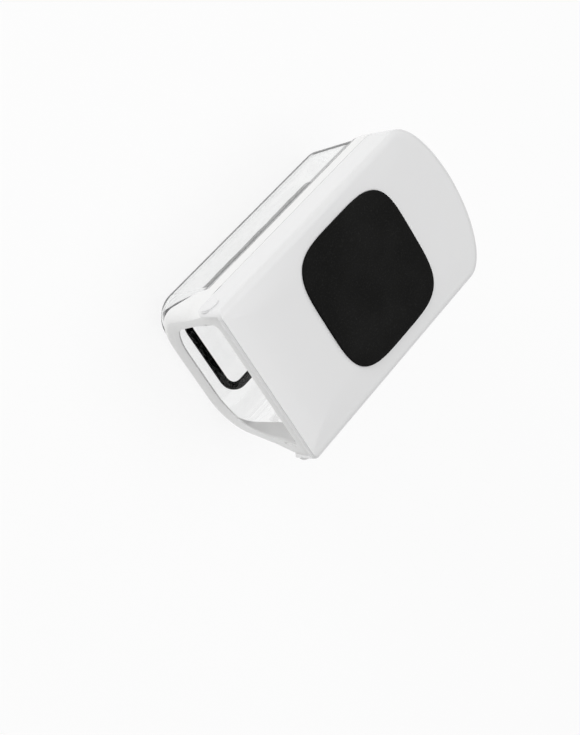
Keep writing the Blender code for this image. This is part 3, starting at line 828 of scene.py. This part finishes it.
@dataclass
class CatchBox(Plan):
    """Clear catch box with its rim and leaning front cut, and the soft foot ring under it."""

    outline: DeeLoop = field(default_factory=lambda: DeeLoop(front=60, corner=40, side=60, rear=96))
    underside: float = 0.0012
    floor: float = 0.0026
    wall: float = 0.0022
    top: float = 0.0585
    top_half: float = 0.0551
    low_half: float = 0.0522
    side_fillet: float = 0.0160
    front_fillet: float = 0.0050
    front_back: float = 0.0148
    corner: float = 0.0140
    least_corner: float = 0.003
    rim_height: float = 0.0028
    rim_proud: float = 0.0008
    rim_ease: float = 0.0007
    seam_corner: float = 0.0195
    spout_flat: float = 0.0228
    spout_radius: float = 0.0275
    spout_low: float = 0.0038
    spout_turn: float = 0.97
    spout_flank: float = 4.0
    least_wall: float = 0.0004
    brim_ease: float = 0.0005
    brim_plan: float = 0.03
    # Where the painted shade along the cut reaches: depth below the brim, and the heights where it fades in
    # and out.
    seam_shade_reach: Pair = (0.0052, 0.0072)
    seam_shade_low: Pair = (0.008, 0.014)
    seam_shade_high: Pair = (0.052, 0.056)
    ring_front: float = 0.0288
    ring_rear: float = 0.0236
    ring_half: float = 0.0330
    ring_radius: float = 0.0135
    ring_strip: float = 0.0051
    ring_height: float = 0.0026
    gap: float = 0.0003

    def build(self) -> None:
        """Builds and dresses the box and its ring."""
        place(self.shell(), Body.BOX, "container", BOX_CLEAR, "container")
        place(self.ring(), Body.BOX, "foot_ring", RING_BLACK, "foot_ring")

    def hood_floor(self, y: Array) -> Array:
        """Height of the spout's underside: a flat, most of a quarter circle, then the steep flank.

        Args:
            y: places across the box.

        Returns:
            The heights.
        """
        past, radius = np.abs(y) - self.spout_flat, self.spout_radius
        over = np.clip(past / radius, 0.0, self.spout_turn)
        flank = np.maximum(past - radius * self.spout_turn, 0) * self.spout_flank
        return self.spout_low - self.gap + radius * (1 - np.sqrt(1 - over ** 2)) + flank

    def brim(self, x: Array, y: Array) -> Array:
        """Height of the wall's upper edge: the rim, the leaning seam and the spout's outline.

        Args:
            x: places along the box.
            y: places across the box.

        Returns:
            The heights.
        """
        back = self.front - x
        seam = np.clip((back - self.seam_back - self.gap) / self.seam_slope, 0.0, self.top)
        low = np.where(back < self.seam_corner, np.maximum(seam, self.hood_floor(y)), seam)
        return np.maximum(low, self.underside + self.floor + self.least_wall)

    def fillet(self, rise: Array, radius: float) -> Array:
        """How far a quarter-round foot is drawn in at a rise above its underside."""
        left = np.clip(radius - rise, 0.0, radius)
        return radius - np.sqrt(radius ** 2 - left ** 2)

    def loops(self, z: Array, inside: bool) -> Line:
        """Outline of the box at some heights.

        Args:
            z: heights, an array (rows, 1) or (rows, columns).
            inside: the wall's inner face in place of its outer one.

        Returns:
            The x and y of every column.
        """
        low = self.underside + (self.floor if inside else 0.0)
        slope = (self.top_half - self.low_half) / (self.top - self.underside - self.side_fillet)
        half = self.low_half + slope * np.maximum(z - self.underside - self.side_fillet, 0.0)
        thick = self.wall if inside else 0.0
        side = self.fillet(z - low, self.side_fillet - thick) + thick
        front = self.fillet(z - low, self.front_fillet - thick) + thick
        if not inside:
            bead = self.top - self.rim_height
            side = side - self.rim_proud * smooth_step(z, bead, bead + self.rim_ease)
        width = half - side
        corner, rear = np.maximum(self.corner - front, self.least_corner), self.rear + self.half - width
        depth = self.rear_depth * width / self.half
        return self.outline.loop(self.front - self.front_back - front, corner, rear, depth, width)

    def shell(self) -> Piece:
        """Closed skin of the box: floor, inner wall up to the brim, over it and down the outer wall.

        Rows are shares g of the way from the floor to the brim of their column, z = low + g (brim - low).
        The outline at a height z is a straight flank drawn in by the foot's fillet.
        """
        brim = self.brim(*self.loops(np.full((1, 1), self.brim_plan), False))
        middle = (self.front - self.front_back + self.rear) / 2
        quarter = np.radians(np.linspace(0, 90, 43))
        foot = self.side_fillet / (self.top - self.underside) * (1 - np.cos(quarter))
        near_brim = [*np.linspace(0.36, 0.84, 5), *np.linspace(0.86, 0.94, 5), 0.952, 0.964, 0.985, 1.0]
        rows = Rows()
        low = self.underside + self.floor
        z = low + np.concatenate([foot, np.linspace(0.36, 1, 8)])[:, None] * (brim - self.brim_ease - low)
        x, y = self.loops(z, True)
        for share in (0.05, 0.4, 0.75):
            rows.add(middle + (x[:1] - middle) * share, y[:1] * share, low)
        rows.add(x, y, z)
        inner, outer = (np.array(self.loops(brim, inside)) for inside in (True, False))
        for share in (0.2, 0.8):
            rows.add(*(inner + (outer - inner) * share), brim)
        low = self.underside
        z = (low + np.concatenate([foot, near_brim])[:, None] * (brim - self.brim_ease - low))[::-1]
        x, y = self.loops(z, False)
        rows.add(x, y, z)
        for share in (0.75, 0.4, 0.05):
            rows.add(middle + (x[-1:] - middle) * share, y[-1:] * share, low)
        box = grid_mesh("clear_box", rows.grid(), poles=True)
        self.mark_seam_shade(box.data)
        return box

    def mark_seam_shade(self, mesh: bpy.types.Mesh) -> None:
        """Keeps 1 in an attribute of painted shade near the cut in the box's front, and 0 away from it.

        Args:
            mesh: mesh of the box.
        """
        where = np.empty(len(mesh.vertices) * 3, dtype=np.float32)
        mesh.vertices.foreach_get("co", where)
        x, y, z = where.reshape(-1, 3).T
        # Painted shade: full at the brim of the cut, fading with depth below it and towards both ends of
        # the cut.
        shade = (1 - smooth_step(self.brim(x, y) - z, *self.seam_shade_reach)) * smooth_step(z, *self.seam_shade_low)
        shade *= 1 - smooth_step(z, *self.seam_shade_high)
        marks = mesh.attributes.new(BOX_CLEAR.cut_edge, "FLOAT", "POINT")
        marks.data.foreach_set("value", shade.astype(np.float32))

    def ring(self) -> Piece:
        """Foot ring: a low strip with eased lower edges, carried round a rounded rectangle."""
        front, rear, half = self.front - self.ring_front, self.rear + self.ring_rear, self.ring_half
        eased = ((0.0, 0.0006), (0.0002, 0.0002), (0.0006, 0.0))
        other = [(self.ring_strip - inset, z) for inset, z in eased[::-1]]
        rows = Rows()
        for inset, z in ((0.0, self.ring_height), *eased, *other, (self.ring_strip, self.ring_height)):
            x, y = rounded_rectangle((front - rear) / 2 - inset, half - inset, self.ring_radius - inset, 20)
            rows.add((front + rear) / 2 + x, y, z)
        return grid_mesh("foot_strip", rows.grid(), closed_rows=True)


# Frame and blades


@dataclass
class SpoutHood(Plan):
    """Pour spout below the lid's ears: shoulders, face band, thin lip and the wall of the room behind it.

    Each outline is a U in the (y, z) plane, given by its corners on one side from the top down, each as
    inset from the lid's side, height and radius. The band's outlines are closed over the top.
    """

    top: float = 0.0690
    outer: Corners = ((0.0001, 0.0690, 0.0), (0.0007, 0.0500, 0.0300), (0.0118, 0.0038, 0.0275))
    edge: Corners = ((0.0052, 0.0690, 0.0), (0.0086, 0.0520, 0.0300), (0.0165, 0.0048, 0.0270))
    opening: Corners = ((0.0112, 0.0690, 0.0), (0.0127, 0.0560, 0.0300), (0.0211, 0.0155, 0.0235))
    room: Corners = ((0.0076, 0.0690, 0.0), (0.0079, 0.0560, 0.0300), (0.0155, 0.0066, 0.0260))
    band_edge: Corners = ((0.0030, 0.0876, 0.0012), (0.0032, 0.0760, 0.0150),
                          (0.0087, 0.0520, 0.0300), (0.0166, 0.0049, 0.0268))
    band_opening: Corners = ((0.0096, 0.0826, 0.0040), (0.0100, 0.0700, 0.0150),
                             (0.0127, 0.0560, 0.0300), (0.0211, 0.0155, 0.0235))
    tuck: float = 0.0009
    tuck_least: float = 0.3
    tuck_rise: Pair = (0.010, 0.030)
    band_proud: float = 0.00012
    band_ease: float = 0.00006
    band_tight: float = 0.00003
    band_sunk: float = 0.0004
    band_depth: float = 0.0009
    face_back: float = 0.0020
    face_top: float = 0.0816
    face_slope: float = 0.1513
    lip_back: float = 0.0015
    lip_back_top: float = 0.036
    lip_back_run: float = 0.018
    lip_low: float = 0.0009
    lip_high: float = 0.0028
    lip_rise: Pair = (0.045, 0.066)
    ease: float = 0.0003
    shoulder_proud: float = 0.00004
    shoulder_rows: int = 16
    shoulder_degrees: float = 75.0
    straight_points: int = 12
    arc_points: int = 28

    def path(self, corners: Corners, grow: float = 0.0) -> Array:
        """The U of one outline, or its closed loop where its top corner has a radius.

        Args:
            corners: its corners on one side.
            grow: how far the outline moves outwards.

        Returns:
            Array (2, points) of y and z from the top of the -Y side, down and across, to the +Y side.
        """
        closed = corners[0][2] > 0
        at = [np.array([inset - self.half - grow, z]) for inset, z, _ in corners]
        at[-1][1] -= grow
        radii = [radius + grow for _, _, radius in corners]
        if closed:
            at[0][1] += grow
            at = [np.array([0.0, at[0][1]])] + at
        else:
            radii = radii[1:]
        at.append(np.array([0.0, at[-1][1]]))
        share = np.linspace(0, 1, self.straight_points, endpoint=False)[:, None]
        last, run = at[0], []
        for before, corner, after, radius in zip(at, at[1:], at[2:], radii):
            turned = self.arc(before, corner, after, radius)
            run += [last + (turned[0] - last) * share, turned[:-1]]
            last = turned[-1]
        run += [last + (at[-1] - last) * share, at[-1][None]]
        side = np.concatenate(run)
        other = side[-2::-1] * np.array([-1, 1])
        return np.concatenate([side, other[:-1] if closed else other]).T

    def arc(self, before: Array, corner: Array, after: Array, radius: float) -> Array:
        """Part of the circle that touches both straights at a corner.

        Args:
            before: the corner before it.
            corner: the corner.
            after: the corner after it.
            radius: radius of the circle.

        Returns:
            Points (points, 2) turned from one straight to the other.
        """
        u, v = before - corner, after - corner
        u, v = u / np.linalg.norm(u), v / np.linalg.norm(v)
        half = np.arccos(np.clip(u @ v, -1, 1)) / 2
        centre = corner + (u + v) / np.linalg.norm(u + v) * radius / np.sin(half)
        start, end = (corner + way * radius / np.tan(half) - centre for way in (u, v))
        share = np.linspace(0, 1, self.arc_points + 1)[:, None]
        sweep = math.pi - 2 * half
        return centre + (np.sin((1 - share) * sweep) * start + np.sin(share * sweep) * end) / np.sin(sweep)

    def face(self, z: Array) -> Array:
        """x of the face, which leans back towards the table."""
        return self.front - self.face_back - np.maximum(self.face_top - z, 0) * self.face_slope

    def seam(self, z: Array) -> Array:
        """x of the spout's rear edge, along the clear box's leaning cut."""
        return self.front - self.seam_back - self.seam_slope * z

    def lip_front(self, z: Array) -> Array:
        """x of the opening's edge, which is set back from the face near the table."""
        return self.face(z) - self.lip_back * np.clip((self.lip_back_top - z) / self.lip_back_run, 0, 1)

    def build(self) -> None:
        """Builds and dresses the spout and the band round its opening."""
        place(self.shell(), Body.FRAME, "frame", FRAME_WHITE, "frame")
        # The band gets the darker white, which is painted shade.
        place(self.band(), Body.FRAME, "frame", FACE_BAND_SHADED)

    def band(self) -> Piece:
        """Flat band round the whole opening: a low section with eased edges, carried round its outline."""
        edge, near = self.path(self.band_edge), self.path(self.band_opening, self.ease)
        opening = self.path(self.band_opening, -self.band_tight)
        outer, inner, proud = self.face(edge[1]), self.lip_front(opening[1]), self.band_proud
        rows = Rows()
        rows.add(outer - self.band_sunk, *edge)
        rows.add(outer + proud - self.band_ease, *edge)
        for share, x in ((0.03, outer), (0.5, (outer + inner) / 2), (1.0, inner)):
            rows.add(x + proud, *(edge + (near - edge) * share))
        rows.add(inner + proud - self.band_ease, *(opening + (near - opening) * 0.35))
        rows.add(inner + proud - self.ease, *opening)
        rows.add(inner - self.band_depth, *opening)
        rows.add(inner - self.band_depth, *near)
        return grid_mesh("spout_band", rows.grid(), closed_rows=True, sharp_degrees=30.0)

    def shell(self) -> Piece:
        """Closed skin: a section at each point of the U, by shoulder, face and lip to the room behind.

        The shoulder is a part of an ellipse, y = (1 - cos a) / (1 - cos A) and x = sin a / sin A. It meets
        the face at a crease, because A is less than a quarter turn.
        """
        lines = (self.outer, self.edge, self.opening, self.room)
        outer, edge, opening, room = (self.path(line) for line in lines)
        tucked, proud = self.path(self.outer, -self.tuck), self.path(self.outer, self.shoulder_proud)
        near, nearer = self.path(self.opening, self.ease), self.path(self.opening, self.ease * 0.3)
        rows = Rows()

        def add(x: Array, line: Array) -> None:
            """Keeps the points of one line along the U, cut off at the top."""
            rows.add(x, line[0], np.minimum(line[1], self.top))

        depth = self.tuck_least + (1 - self.tuck_least) * smooth_step(outer[1], *self.tuck_rise)
        for a in np.radians([0, 25, 50, 75]):
            x = self.seam(outer[1]) + depth * self.tuck * (1 - math.cos(a))
            add(x, outer + (tucked - outer) * (depth * (1 - math.sin(a))))
        most = math.radians(self.shoulder_degrees)
        start, end = self.seam(outer[1]) + depth * self.tuck, self.face(edge[1])
        for a in np.linspace(0, most, self.shoulder_rows + 1)[1:]:
            share = (1 - math.cos(a)) / (1 - math.cos(most))
            add(start + (end - start) * math.sin(a) / math.sin(most), proud + (edge - proud) * share)
        front = self.lip_front(opening[1])
        for share in (0.5, 1.0):
            add(end + (front - end) * share, edge + (near - edge) * share)
        add(front - self.ease * 0.3, nearer)
        add(front - self.ease, opening)
        thick = self.lip_low + (self.lip_high - self.lip_low) * smooth_step(opening[1], *self.lip_rise)
        back = front - thick
        add(back, opening)
        behind = np.maximum(back - 0.0004, self.seam(room[1]) + 0.0003)
        add(np.maximum(back - 0.0002, behind + 0.0001), near)
        for share in (0.0, 0.3, 0.7, 1.0):
            add(behind + (self.seam(room[1]) - behind) * share, room)
        return grid_mesh("spout_hood", rows.grid().swapaxes(0, 1), caps=True, sharp_degrees=18.0)


@dataclass
class Frame:
    """White frame, and the blade cassette in it."""

    blade_top: float = 0.0687
    grind: float = 0.0013
    long_blades: int = 6
    cross_blades: int = 7
    steel: Triple = (0.64, 0.65, 0.66)
    edge: float = 0.0003
    cassette_edge: float = 0.0002
    hood_x: Pair = (0.0758, 0.12)
    hood_y: Pair = (-0.07, 0.07)
    hood_z: Pair = (-0.01, 0.0688)

    def tray(self) -> Piece:
        """The frame without its spout: its CAD solid with a block cut off below the lid's ears."""
        made = welded_copy("frame", "spout_frame", self.edge, 2)
        x, z = np.array(self.hood_x)[[0, 1, 1, 0]], np.array(self.hood_z)[[0, 0, 1, 1]]
        block = grid_mesh("hood_block", points(x, np.array(self.hood_y)[:, None], z), caps=True)
        change = made.modifiers.new("without_hood", "BOOLEAN")
        change.operation, change.solver, change.object = "DIFFERENCE", "EXACT", block
        bpy.ops.object.select_all(action="DESELECT")
        bpy.context.view_layer.objects.active = made
        bpy.ops.object.modifier_move_to_index(modifier=change.name, index=0)
        bpy.ops.object.modifier_apply(modifier=change.name)
        bpy.data.objects.remove(block, do_unlink=True)
        made.data.set_sharp_from_angle(angle=math.radians(CREASE_DEGREES))
        return made

    def build(self) -> None:
        """Builds and dresses the frame, the carrier, the clamp and every blade."""
        SpoutHood().build()
        place(self.tray(), Body.FRAME, "frame", FRAME_WHITE, "frame")
        for node, name in (("blade_carrier", "carrier_tray"), ("blade_clamp", "clamp_bezel")):
            place(welded_copy(node, name, self.cassette_edge), Body.FRAME, node, INNER_WHITE, node)
        height = self.blade_top - self.grind
        along = GroundSteel("steel_along", self.steel, Grain.ALONG_BOX, height)
        across = GroundSteel("steel_across", self.steel, Grain.ACROSS_BOX, height)
        nodes = frame_nodes()
        for row, count, finish in (("long", self.long_blades, along), ("cross", self.cross_blades, across)):
            for number in range(1, count + 1):
                blade = nodes[f"blade_{row}_{number}"]
                blade.data.materials.clear()
                blade.data.materials.append(finish.material())
                LOG.info("%s is dressed", blade.name)


# Studio


@dataclass(frozen=True)
class Lamp:
    """Square area lamp."""

    name: str
    at: Triple
    size: float
    power: float

    def build(self, aim: Triple) -> None:
        """Makes the lamp.

        Args:
            aim: point that it looks at.
        """
        data = bpy.data.lights.new(self.name, "AREA")
        data.size, data.energy = self.size, self.power
        lamp = linked(self.name, data)
        lamp.location = self.at
        lamp.rotation_euler = (Vector(aim) - Vector(self.at)).to_track_quat("-Z", "Y").to_euler()


@dataclass
class Studio:
    """Pale floor, soft lamps and the camera of the photograph."""

    camera_place: Triple = (0.497513, -0.353564, 0.751077)
    camera_turn: Triple = (0.003855, -0.693463, 2.431454)
    lens: float = 72.452
    sensor: float = 36.0
    clip_start: float = 0.01
    floor_half: float = 4.0
    floor_z: float = -0.0002
    floor_colours: tuple[Triple, Triple] = ((0.93, 0.93, 0.93), (0.95, 0.95, 0.95))
    floor_white: float = 0.86
    floor_glow: float = 0.80
    floor_near: float = 0.45
    floor_far: float = 1.30
    world_strength: float = 0.48
    band_dark: float = 0.01
    band_middle: float = 0.10
    band_half: float = 0.13
    band_end: float = 0.28
    lamps: tuple[Lamp, ...] = (Lamp("key", (0.28, -1.62, 0.32), 1.0, 11.5),
                               Lamp("top", (-0.25, 0.10, 1.70), 1.4, 11.3))
    aim: Triple = (0.0, 0.0, 0.05)

    def build(self) -> None:
        """Sets the floor, the world, the lamps and the camera."""
        self.floor()
        self.world()
        for lamp in self.lamps:
            lamp.build(self.aim)
        self.camera()
        bpy.context.scene.view_settings.view_transform = "Standard"

    def floor(self) -> None:
        """Pale floor that keeps the object's shadow and turns white with distance."""
        h, z = self.floor_half, self.floor_z
        mesh = bpy.data.meshes.new("studio_floor")
        mesh.from_pydata([(-h, -h, z), (h, -h, z), (h, h, z), (-h, h, z)], [], [(0, 1, 2, 3)])
        bench = Bench(bpy.data.materials.new("floor_pale"))
        bench.dress(Base_Color=bench.blend(bench.noise(30.0, 3.0), *self.floor_colours), Roughness=0.9)
        glow = bench.node("ShaderNodeEmission", {"Color": (1, 1, 1, 1), "Strength": 1.0})
        reach = bench.node("ShaderNodeVectorMath", {0: bench.coordinates["Object"]}, operation="LENGTH")
        far = Signal(bench, reach.outputs["Value"]).between(self.floor_near, self.floor_far)
        white = far * (1 - self.floor_white) + self.floor_white
        camera, bent = bench.rays()
        share = camera.most(bent) * (white - self.floor_glow) + self.floor_glow
        mix = bench.node("ShaderNodeMixShader", {0: share, 1: bench.shader.outputs[0], 2: glow.outputs[0]})
        bench.feed(bench.tree.nodes["Material Output"].inputs["Surface"], mix.outputs[0])
        mesh.materials.append(bench.holder)
        linked(mesh.name, mesh)

    def world(self) -> None:
        """White world, at strength 1 where it is seen and lower where it lights.

        Reflections and clear plastic also meet a darker band just above the table's edge, which draws the
        dark lines along clear edges.
        """
        bench = Bench(bpy.data.worlds.new("studio_world"), "Background")
        bpy.context.scene.world = bench.holder
        camera, bent = bench.rays()
        way = bench.node("ShaderNodeSeparateXYZ", {0: bench.coordinates["Generated"]}).outputs
        away = abs(Signal(bench, way["Z"]) - self.band_middle)
        band = away.between(self.band_half, self.band_end, self.band_dark)
        lighting = (1 - bent.most(camera)) * self.world_strength
        bench.dress(Color=(1, 1, 1, 1), Strength=bent * band + camera + lighting)

    def camera(self) -> None:
        """Camera fitted to the photograph, in which the object is tilted."""
        data = bpy.data.cameras.new("photo_camera")
        data.sensor_fit, data.sensor_height = "VERTICAL", self.sensor
        data.lens, data.clip_start = self.lens, self.clip_start
        camera = linked("photo_camera", data)
        camera.location, camera.rotation_euler = self.camera_place, Euler(self.camera_turn)
        bpy.context.scene.camera = camera


def main() -> None:
    """Builds the parts in order."""
    logging.basicConfig(level=logging.INFO, format="%(name)s: %(message)s")
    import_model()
    for part in (Lid(), CatchBox(), Frame(), Studio()):
        part.build()


if __name__ == "__main__":
    main()
